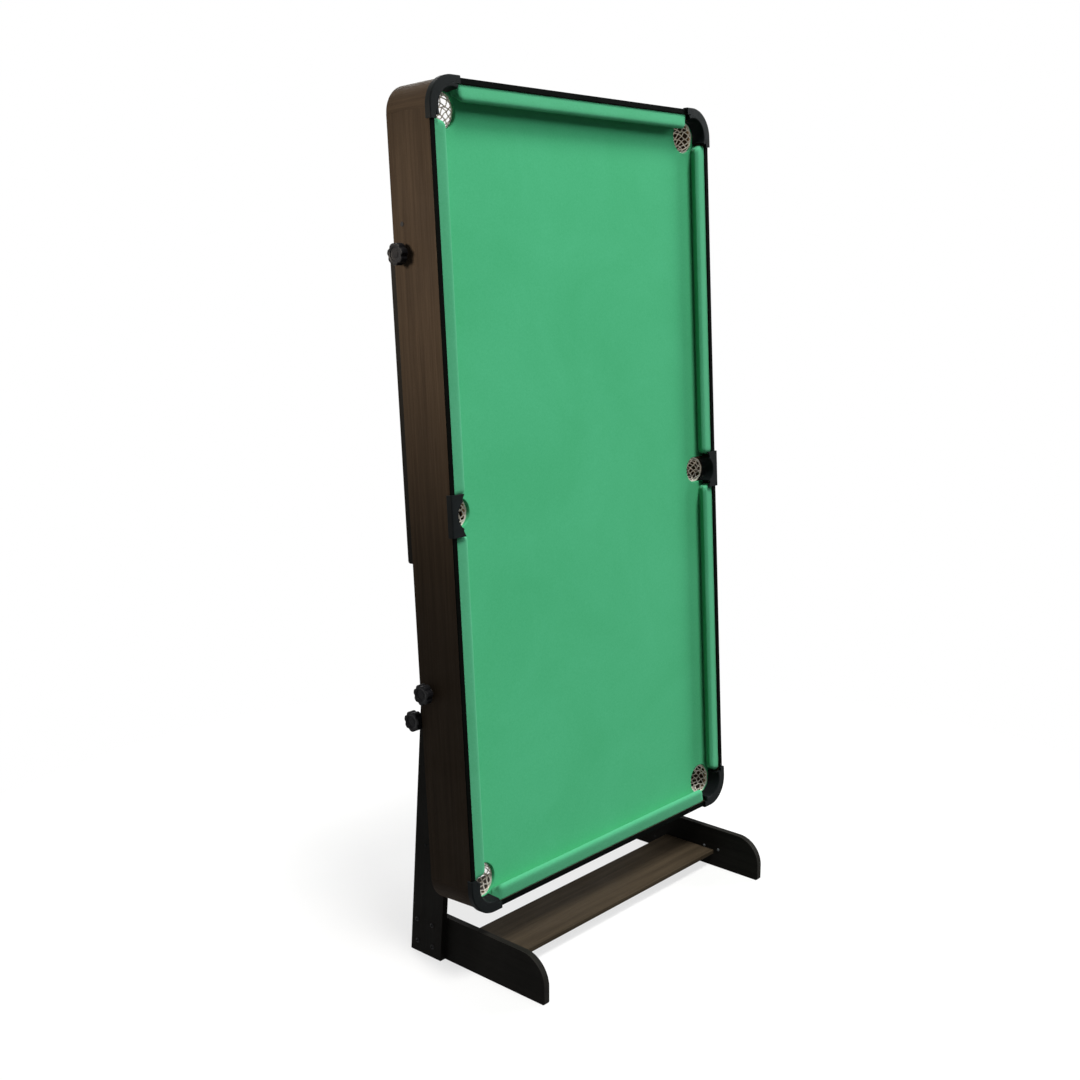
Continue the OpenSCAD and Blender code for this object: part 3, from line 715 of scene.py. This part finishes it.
for node in ("upper_left_cushion", "lower_left_cushion",
             "upper_right_cushion", "lower_right_cushion"):
    end, side = end_sign(node), side_sign(node)
    cushion(node, (side * INNER_X, TABLE_L if end > 0 else 0), (0, -end), (-side, 0),
            MID_V - MIDDLE_MOUTH_R - MIDDLE_ROOT, MIDDLE_MITRE)


# Pocket castings: a rounded rim and skirt swept round the corner, and a flared collar

CASTING_H = 0.005
CASTING_LIP = 0.004
CASTING_REACH = 0.088
CASTING_EASE = 0.0005
CASTING_STEPS = 24
MIDDLE_LEN = 0.093
MIDDLE_STEPS = 48
SKIRT_W = -0.010
EDGE_ROUND = 0.003
ROUND_STEPS = 7
TAB_W = APRON_T + 0.001
COLLAR_T = 0.0025
COLLAR_W = CLOTH_W + 0.002
COLLAR_STEPS = 40
COLLAR_PROUD = 0.001  # into the mouth at its lower edge, and past the collar under the plate
LIP_R = 0.0025
CORNER_TOP_R = CORNER_MOUTH_R + 0.0025
MIDDLE_TOP_R = MIDDLE_MOUTH_R + 0.0008
MIDDLE_PLATE = 0.036
PRONG_CUT = 0.006
PRONG_RUN = 0.0115
MIDDLE_COLLAR = math.radians(57)
CORNER_COLLAR = math.radians(65)


def casting_section(inner):
    """(outward, up) from the skirt over the rounded edge to the inner edge and back."""
    rim = arc_points(CASTING_LIP - EDGE_ROUND, CASTING_H - EDGE_ROUND, EDGE_ROUND, 0, 90,
                     ROUND_STEPS)
    return [(CASTING_LIP, SKIRT_W), *rim, (inner, CASTING_H), (inner, 0.0), (GAP, 0.0),
            (GAP, SKIRT_W)]


def collar_section(mouth, high_r, reach):
    """(radius, up) from the cloth over the lip to the plate and back."""
    low_r = mouth - COLLAR_PROUD
    lip = arc_points(high_r + LIP_R, CASTING_H - LIP_R, LIP_R, 180, 90, ROUND_STEPS)
    return [(low_r, COLLAR_W), *lip, (reach, CASTING_H), (reach, 0.0),
            (high_r + COLLAR_T, 0.0), (low_r + COLLAR_T, COLLAR_W)]


def casting_piece(node, bm, matrix):
    bmesh.ops.recalc_face_normals(bm, faces=bm.faces)
    round_edges(bm, CASTING_EASE, 2)
    weighted(dressed(node, node + "_moulded", as_mesh(node, bm, matrix), "plastic"))


def corner_casting(node):
    """Drawn for the lower right corner and mirrored to its own."""
    bm = bmesh.new()
    path = [((0, CASTING_REACH), 0)]
    path += [((CORNER_R * (math.cos(turn) - 1), CORNER_R * (1 + math.sin(turn))), turn)
             for turn in fan(-math.pi / 2, CASTING_STEPS)]
    path.append(((-CASTING_REACH, 0), -math.pi / 2))
    loft(bm, [[Vector((x + o * math.cos(turn), v + o * math.sin(turn), w))
               for o, w in casting_section(-TAB_W)] for (x, v), turn in path])
    centre = Matrix.Translation((-CORNER_R, CORNER_R, 0)) @ Matrix.Rotation(-math.pi / 4, 4, "Z")
    revolved(bm, collar_section(CORNER_MOUTH_R, CORNER_TOP_R, CORNER_R - TAB_W), centre,
             COLLAR_STEPS, -CORNER_COLLAR, CORNER_COLLAR)
    side, end = side_sign(node), end_sign(node)
    corner = Matrix.Translation((side * HALF_W, TABLE_L if end > 0 else 0, 0))
    casting_piece(node, bm, TABLE @ corner @ Matrix.Diagonal((side, -end, 1, 1)))


def middle_casting(node):
    """Drawn for the right side and mirrored to its own, with the corners of its prongs cut."""
    bm = bmesh.new()
    reach = MIDDLE_TOP_R + COLLAR_T + COLLAR_PROUD
    rings = []
    for k in range(MIDDLE_STEPS + 1):
        v = MIDDLE_LEN * (k / MIDDLE_STEPS - 0.5)
        bite = math.sqrt(max(reach * reach - v * v, 0)) - MIDDLE_INSET
        plate = MIDDLE_PLATE - PRONG_CUT * min(1.0, (MIDDLE_LEN / 2 - abs(v)) / PRONG_RUN)
        rings.append([Vector((o, v, w)) for o, w in casting_section(max(bite, -plate))])
    loft(bm, rings)
    revolved(bm, collar_section(MIDDLE_MOUTH_R, MIDDLE_TOP_R, reach),
             Matrix.Translation((-MIDDLE_INSET, 0, 0)), COLLAR_STEPS,
             -MIDDLE_COLLAR, MIDDLE_COLLAR)
    side = side_sign(node)
    casting_piece(node, bm, TABLE @ Matrix.Translation((side * HALF_W, MID_V, 0))
                  @ Matrix.Diagonal((side, 1, 1, 1)))


for node in ("top_left_casting", "top_right_casting",
             "bottom_left_casting", "bottom_right_casting"):
    corner_casting(node)

for node in ("middle_left_casting", "middle_right_casting"):
    middle_casting(node)


# Nets: knotted string bags hung from a corded hem

STRING_R = 0.0014
STRING_SIDES = 6
HEM_R = 0.0012
HEM_RISE = 0.0012
HEM_CORDS = ((0.0, HEM_R), (0.0016, HEM_R * 0.8))  # (drop, radius) of its two turns
HEM_STEPS = 72
HEM_SIDES = 7
HEM_WAVE = 0.0005
HEM_WAVES = 9
BELLY = 0.86  # of the mouth's radius, where the round bottom starts
NET_STEPS = 54
NET_TURN = 0.42  # of a full turn, made by each string on its way down
NET_FALL = 1.25  # the higher, the flatter the strings run under the hem
NET_CLEAR = 1.6 * STRING_R
NET_FLOOR = 0.004
NET_KNOT_R = 0.0023
KNOTS_END = 0.8  # share of the way down
CORNER_STRANDS = 14
MIDDLE_STRANDS = 12
BOTTOM_KNOT_R = 0.0065
BOTTOM_KNOT_FLAT = 0.6
BOTTOM_KNOT_RISE = 0.003

# Slack grows from none at the hem, falls to none at the bottom, and lets noise pull the strings
SLACK_GROWS = 5
SLACK_FALLS = 2.5
PULL_PITCH = 2.4
PULL_DOWN_PITCH = 2.6
PULL_SEED = 9.1
PULL_IN = 0.16  # of the radius
PULL_ROUND = 0.26  # radians
PULL_UP = 0.004


def net_radius(mouth, depth, w):
    """Radius of the bag at height w: a taper, then a round bottom."""
    belly = mouth * BELLY
    turn_w = belly - depth
    if w > turn_w:
        share = (CLOTH_W - WRAP_DEPTH - w) / (CLOTH_W - WRAP_DEPTH - turn_w)
        return mouth + (belly - mouth) * max(share, 0.0)
    return math.sqrt(max(belly * belly - (w - turn_w) ** 2, 0.0))


def net(node, centre, outward, mouth, depth, strands, seed):
    """A slack bag of strings that cross in knots and hang from a corded hem."""
    bm = bmesh.new()
    low_w = NET_FLOOR - depth
    middle = Vector((*centre, 0))

    def hem_w(angle):
        """Height of the hem, just above the edge of the turned-down cloth."""
        return CLOTH_W + HEM_RISE - turned_down(angle, outward)

    def spot(angle, share):
        """A point of the bag: angle round it, share of the way down, pulled about by slack."""
        w = hem_w(angle)
        w += (low_w - w) * math.sin(share * math.pi / 2) ** NET_FALL
        slack = min(1.0, SLACK_GROWS * share) * min(1.0, SLACK_FALLS * (1 - share))
        pull = noise.noise_vector(
            Vector((math.cos(angle), math.sin(angle), share * PULL_DOWN_PITCH)) * PULL_PITCH
            + Vector((0, 0, PULL_SEED * seed)))
        r = (net_radius(mouth, depth, w) - NET_CLEAR) * (1 - PULL_IN * slack * abs(pull.x))
        angle += PULL_ROUND * slack * pull.y
        return middle + Vector((r * math.cos(angle), r * math.sin(angle),
                                w + PULL_UP * slack * pull.z))

    for i in range(strands):
        start = FULL * i / strands
        for way in (-1, 1):
            tube(bm, [spot(start + way * NET_TURN * FULL * k / NET_STEPS, k / NET_STEPS)
                      for k in range(NET_STEPS + 1)], STRING_R, STRING_SIDES)
    crossings = 2 * NET_TURN * strands
    for i in range(strands):
        for step in range(1, int(crossings)):
            share = step / crossings
            if share < KNOTS_END:
                knot = spot(FULL * (i / strands + 0.5 * step / strands), share)
                bmesh.ops.create_icosphere(bm, subdivisions=1, radius=NET_KNOT_R,
                                           matrix=Matrix.Translation(knot))
    hem_r = mouth - HEM_R
    for drop, radius in HEM_CORDS:
        tube(bm, [middle + Vector((hem_r * math.cos(t), hem_r * math.sin(t),
                                   hem_w(t) - drop + HEM_WAVE * math.sin(HEM_WAVES * t)))
                  for t in fan(FULL, HEM_STEPS, with_last=False)], radius, HEM_SIDES, ring=True)
    bottom = Matrix.Translation(middle + Vector((0, 0, low_w + BOTTOM_KNOT_RISE)))
    bmesh.ops.create_uvsphere(bm, u_segments=16, v_segments=10, radius=BOTTOM_KNOT_R,
                              matrix=bottom @ Matrix.Diagonal((1, 1, BOTTOM_KNOT_FLAT, 1)))
    dressed(node, node + "_knotted", as_mesh(node, bm, TABLE), "string")


for seed, node in enumerate(("top_left_net", "top_right_net",
                             "bottom_left_net", "bottom_right_net")):
    side, end = side_sign(node), end_sign(node)
    net(node, corner_at(side, end), (side, end), CORNER_WALL_R - GAP, CORNER_NET_DEPTH,
        CORNER_STRANDS, seed)

for seed, node in enumerate(("middle_left_net", "middle_right_net"), start=7):
    side = side_sign(node)
    net(node, (side * (HALF_W - MIDDLE_INSET), MID_V), (side, 0), MIDDLE_WALL_R - GAP,
        MIDDLE_NET_DEPTH, MIDDLE_STRANDS, seed)


# Hand knobs: seven soft lobes round a dished face

KNOB_R = 0.024
KNOB_H = 0.025
KNOB_STEM_R = 0.013
KNOB_STEM_H = 0.007
KNOB_STEPS = 140
KNOB_LOBES = 7
LOBE_FROM_R = 0.016
LOBE_CUT = 0.0035
LOBE_WIDTH = 2.4  # the higher, the narrower the valleys between the lobes
DISH_R = 0.0145
BODY_EASE = 0.0022

# (radius, height) of the stem, and (radius, depth below the top) of the face with its round cap
KNOB_STEM = [
    (0.0045, 0.0), (KNOB_STEM_R - 0.0008, 0.0), (KNOB_STEM_R, 0.0008),
    (KNOB_STEM_R, KNOB_STEM_H - 0.0012), (KNOB_STEM_R + 0.0012, KNOB_STEM_H),
]
KNOB_FACE = [
    (DISH_R + 0.0045, 0.0), (DISH_R + 0.0012, 0.0003), (DISH_R, 0.0012),
    (DISH_R - 0.0006, 0.0028), (DISH_R - 0.0018, 0.0031), (0.0085, 0.0031),
    (0.0078, 0.0026), (0.0072, 0.0022), (0.0005, 0.0021),
]


def lobed(angle, radius):
    """Scalloped outline: full on the stem and the dish, soft valleys towards the rim."""
    share = max(0.0, (radius - LOBE_FROM_R) / (KNOB_R - LOBE_FROM_R))
    valley = (0.5 + 0.5 * math.cos(KNOB_LOBES * angle)) ** LOBE_WIDTH
    return radius - LOBE_CUT * share * valley


def knob_profile():
    """(radius, height) from the bore up the stem and the body to the middle of the face."""
    ease_r = KNOB_R - BODY_EASE
    under = arc_points(ease_r, KNOB_STEM_H + BODY_EASE, BODY_EASE, -90, 0, 5)
    top = arc_points(ease_r, KNOB_H - BODY_EASE, BODY_EASE, 0, 90, 6)
    return KNOB_STEM + under + top + [(r, KNOB_H - depth) for r, depth in KNOB_FACE]


for node in [name for name in frame["nodes"] if name.endswith("_knob")]:
    low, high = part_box(node)
    side = side_sign(node)
    middle = (low + high) / 2
    base = Matrix.Translation((high.x if side < 0 else low.x, middle.y, middle.z))
    turn = facing_x(side)
    if "leg" in node:
        turn = Matrix.Rotation(-LEAN, 4, "X") @ turn
    bm = bmesh.new()
    revolved(bm, knob_profile(), base @ turn, KNOB_STEPS, outline=lobed)
    dressed(node, node + "_lobed", as_mesh(node, bm), "knob")


# Bolt and screw heads, with lengths as shares of the head's radius or height

HEAD_SEAT = 0.0002
DOME_STEPS = 6
CENTRE_SHARE = 0.01  # the recess's outline leaves the middle of its floor as it is


def socket(angle):
    """Outline of a hexagon socket."""
    return 0.42 / math.cos((angle % (math.pi / 3)) - math.pi / 6)


def cross(angle):
    """Outline of a cross recess."""
    return 0.10 + 0.38 * abs(math.cos(2 * angle)) ** 7


# Degrees of dome, (radius, height) down the recess, its outline and its reach, steps round it
SOCKET_HEAD = (68, [(0.44, 0.93), (0.43, 0.25), (0.005, 0.22)], socket, 0.45, 36)
CROSS_HEAD = (58, [(0.48, 0.88), (0.47, 0.35), (0.005, 0.3)], cross, 0.5, 48)


def domed_head(bm, matrix, radius, height, dome_deg, recess, shape, reach, steps):
    """A domed head with a recess in its middle."""
    def outline(angle, r):
        return radius * shape(angle) if CENTRE_SHARE < r / radius < reach else r

    dome = arc_points(0, 0, 1, 0, dome_deg, DOME_STEPS)
    profile = [(radius * a, height * b) for a, b in dome + recess]
    revolved(bm, [(radius, -HEAD_SEAT)] + profile, matrix, steps, outline=outline)


def shells(node):
    """The boxes of a node's separate solids."""
    bm = node_bmesh(node)
    left, boxes = set(bm.verts), []
    for first in bm.verts:
        if first not in left:
            continue
        left.remove(first)
        stack, found = [first], []
        while stack:
            vert = stack.pop()
            found.append(vert.co.copy())
            for edge in vert.link_edges:
                other = edge.other_vert(vert)
                if other in left:
                    left.remove(other)
                    stack.append(other)
        boxes.append((Vector(map(min, *found)), Vector(map(max, *found))))
    bm.free()
    return boxes


def headed(node, name, material, head, head_r, head_h, shank_r, outward):
    """Replaces plain bolts along X by bolts with a finished head on one end."""
    bm = bmesh.new()
    for low, high in shells(node):
        side = -1 if low.x + high.x < 0 else 1
        facing = side * outward
        seat = (high.x - head_h) if facing > 0 else (low.x + head_h)
        far = low.x if facing > 0 else high.x
        middle = (low + high) / 2
        domed_head(bm, Matrix.Translation((seat, middle.y, middle.z)) @ facing_x(facing),
                   head_r, head_h, *head)
        tube(bm, [Vector((far, middle.y, middle.z)), Vector((seat, middle.y, middle.z))],
             shank_r, sides=16)
    dressed(node, name, as_mesh(node, bm), material)


headed("stand_bolts", "socket_bolts", "black_steel", SOCKET_HEAD,
       head_r=0.006, head_h=0.003, shank_r=0.003, outward=1)
headed("foot_screws", "cross_screws", "dull_steel", CROSS_HEAD,
       head_r=0.004, head_h=0.002, shank_r=0.002, outward=-1)


# Small caps over the screw holes in the posts

PLUG_Y = 0.151
PLUG_Z = 0.281
PLUG_R = 0.0036
PLUG_H = 0.0009
PLUG_SEAT = 0.0004
PLUG_DOME_DEG = 84
PLUG_STEPS = 28


def post_plugs():
    bm = bmesh.new()
    dome = [(PLUG_R * a, PLUG_H * b) for a, b in arc_points(0, 0, 1, 0, PLUG_DOME_DEG, DOME_STEPS)]
    for node in ("left_post", "right_post"):
        low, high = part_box(node)
        side = side_sign(node)
        face = Matrix.Translation((low.x if side < 0 else high.x, PLUG_Y, PLUG_Z))
        revolved(bm, [(PLUG_R, -PLUG_SEAT), *dome], face @ facing_x(side), PLUG_STEPS)
    place("post_plugs", as_mesh("post_plugs", bm), frame["nodes"]["left_post"]["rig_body"],
          "plastic")


post_plugs()


# Floor, light and camera

# The photo's view, fitted to the edges of the table and its stand; angles in degrees
CAMERA_AT = (-2.4953, -2.0675, 1.6105)
CAMERA_AZIMUTH = 47.82
CAMERA_PITCH = -11.27
CAMERA_ROLL = -0.15
LENS_MM = 45.5
SENSOR_MM = 36

FLOOR_HALF = 9.0
FLOOR_BOUNCE = (0.10, 0.10, 0.10)
FADE_SPAN = 4.0
FADE = ((0.22, 0.72), (0.5, 1.0))  # (share of FADE_SPAN from the middle, share of plain white)
WHITE = (1.0, 1.0, 1.0)
SKY_TINT = (0.93, 0.96, 1.0)
SKY_STRENGTH = 0.08
SEEN_RAYS = ("Is Camera Ray", "Is Glossy Ray", "Is Transmission Ray")


def floor():
    """Pale paint that fades into plain white, and bounces little light onto the object."""
    bm = bmesh.new()
    bmesh.ops.create_grid(bm, x_segments=1, y_segments=1, size=FLOOR_HALF)
    mesh = bpy.data.meshes.new("floor")
    bm.to_mesh(mesh)
    bm.free()
    obj = linked("floor", mesh)
    s = Surface("floor_paint")
    tone = s.ramp(s.noise(2.5, detail=4, rough=0.6), (0.3, 0.79), (0.7, 0.82))
    path = s.add("ShaderNodeLightPath")
    s.finish(Base_Color=s.mix(path.outputs["Is Diffuse Ray"], tone, FLOOR_BOUNCE),
             Roughness=0.9, Specular_IOR_Level=0.1)
    far = s.add("ShaderNodeVectorMath", {"operation": "LENGTH"})
    s.feed(far.inputs[0], s.point)
    fade = s.ramp(s.times(far.outputs["Value"], 1 / FADE_SPAN), *FADE)
    camera_ray, glossy_ray, transmission_ray = [path.outputs[name] for name in SEEN_RAYS]
    rays = s.plus(s.plus(camera_ray, glossy_ray), transmission_ray)
    glow = s.add("ShaderNodeEmission", Color=WHITE).outputs["Emission"]
    s.blend_in(s.times(fade, rays), glow)
    mesh.materials.append(s.material)


def background():
    """White where it is seen, reflected or shines through, and a faint light elsewhere."""
    world = bpy.data.worlds.new("studio")
    bpy.context.scene.world = world
    world.use_nodes = True
    nodes, link = world.node_tree.nodes, world.node_tree.links.new
    nodes.clear()
    light, seen = nodes.new("ShaderNodeBackground"), nodes.new("ShaderNodeBackground")
    light.inputs["Color"].default_value = (*SKY_TINT, 1)
    light.inputs["Strength"].default_value = SKY_STRENGTH
    seen.inputs["Color"].default_value = (*WHITE, 1)
    path = nodes.new("ShaderNodeLightPath")
    camera_ray, glossy_ray, transmission_ray = [path.outputs[name] for name in SEEN_RAYS]
    pair, rays = nodes.new("ShaderNodeMath"), nodes.new("ShaderNodeMath")
    rays.use_clamp = True
    link(camera_ray, pair.inputs[0])
    link(glossy_ray, pair.inputs[1])
    link(pair.outputs[0], rays.inputs[0])
    link(transmission_ray, rays.inputs[1])
    mix, output = nodes.new("ShaderNodeMixShader"), nodes.new("ShaderNodeOutputWorld")
    link(rays.outputs[0], mix.inputs["Fac"])
    link(light.outputs[0], mix.inputs[1])
    link(seen.outputs[0], mix.inputs[2])
    link(mix.outputs[0], output.inputs["Surface"])


def lamp(kind, name, position, aim, energy, colour, **settings):
    """A light at position that shines along aim."""
    light = bpy.data.lights.new(name, kind)
    light.energy = energy
    light.color = colour
    for key, value in settings.items():
        setattr(light, key, value)
    obj = linked(name, light)
    obj.location = position
    obj.rotation_euler = aim.to_track_quat("-Z", "Y").to_euler()


def sun(name, towards, energy, spread_deg, colour):
    """A broad distant light that stands in the direction towards, seen from the table."""
    lamp("SUN", name, (0, 0, 0), -Vector(towards), energy, colour,
         angle=math.radians(spread_deg))


def panel(name, position, target, size, energy, colour):
    """A square soft light."""
    lamp("AREA", name, position, Vector(target) - Vector(position), energy, colour,
         shape="RECTANGLE", size=size, size_y=size)


def spot(name, position, target, radius, energy, cone_deg, colour):
    """A soft cone that fades from its axis to its edge."""
    lamp("SPOT", name, position, Vector(target) - Vector(position), energy, colour,
         shadow_soft_size=radius, spot_size=math.radians(cone_deg), spot_blend=1.0)


def camera():
    azimuth, pitch, roll = map(math.radians, (CAMERA_AZIMUTH, CAMERA_PITCH, CAMERA_ROLL))
    forward = Vector((math.sin(azimuth) * math.cos(pitch), math.cos(azimuth) * math.cos(pitch),
                      math.sin(pitch)))
    right = Vector((math.cos(azimuth), -math.sin(azimuth), 0))
    up = right.cross(forward)
    side = math.cos(roll) * right + math.sin(roll) * up
    head = -math.sin(roll) * right + math.cos(roll) * up
    lens = bpy.data.cameras.new("photo_view")
    lens.lens, lens.sensor_width = LENS_MM, SENSOR_MM
    obj = linked("photo_view", lens)
    turned = Matrix((side, head, -forward)).transposed().to_4x4()
    obj.matrix_world = Matrix.Translation(CAMERA_AT) @ turned
    bpy.context.scene.camera = obj


floor()
background()
camera()
sun("key", towards=(-0.05, -0.37, 0.93), energy=3.4, spread_deg=18, colour=(1.0, 0.985, 0.95))
sun("side", towards=(0.86, -0.34, 0.40), energy=2.4, spread_deg=26, colour=(0.95, 1.0, 1.0))
panel("top", position=(0.35, -1.5, 3.5), target=(0.0, 0.0, 1.5), size=1.2, energy=22,
      colour=(0.95, 1.0, 0.98))
panel("rear", position=(1.0, 3.2, 2.9), target=(0.0, 0.1, 1.0), size=1.6, energy=85,
      colour=(1.0, 0.99, 0.97))
spot("left_top", position=(-2.3, 0.7, 2.0), target=(-0.49, 0.0, 1.64), radius=0.3, energy=310,
     cone_deg=38, colour=(1.0, 0.88, 0.74))

bpy.context.scene.view_settings.view_transform = "Standard"
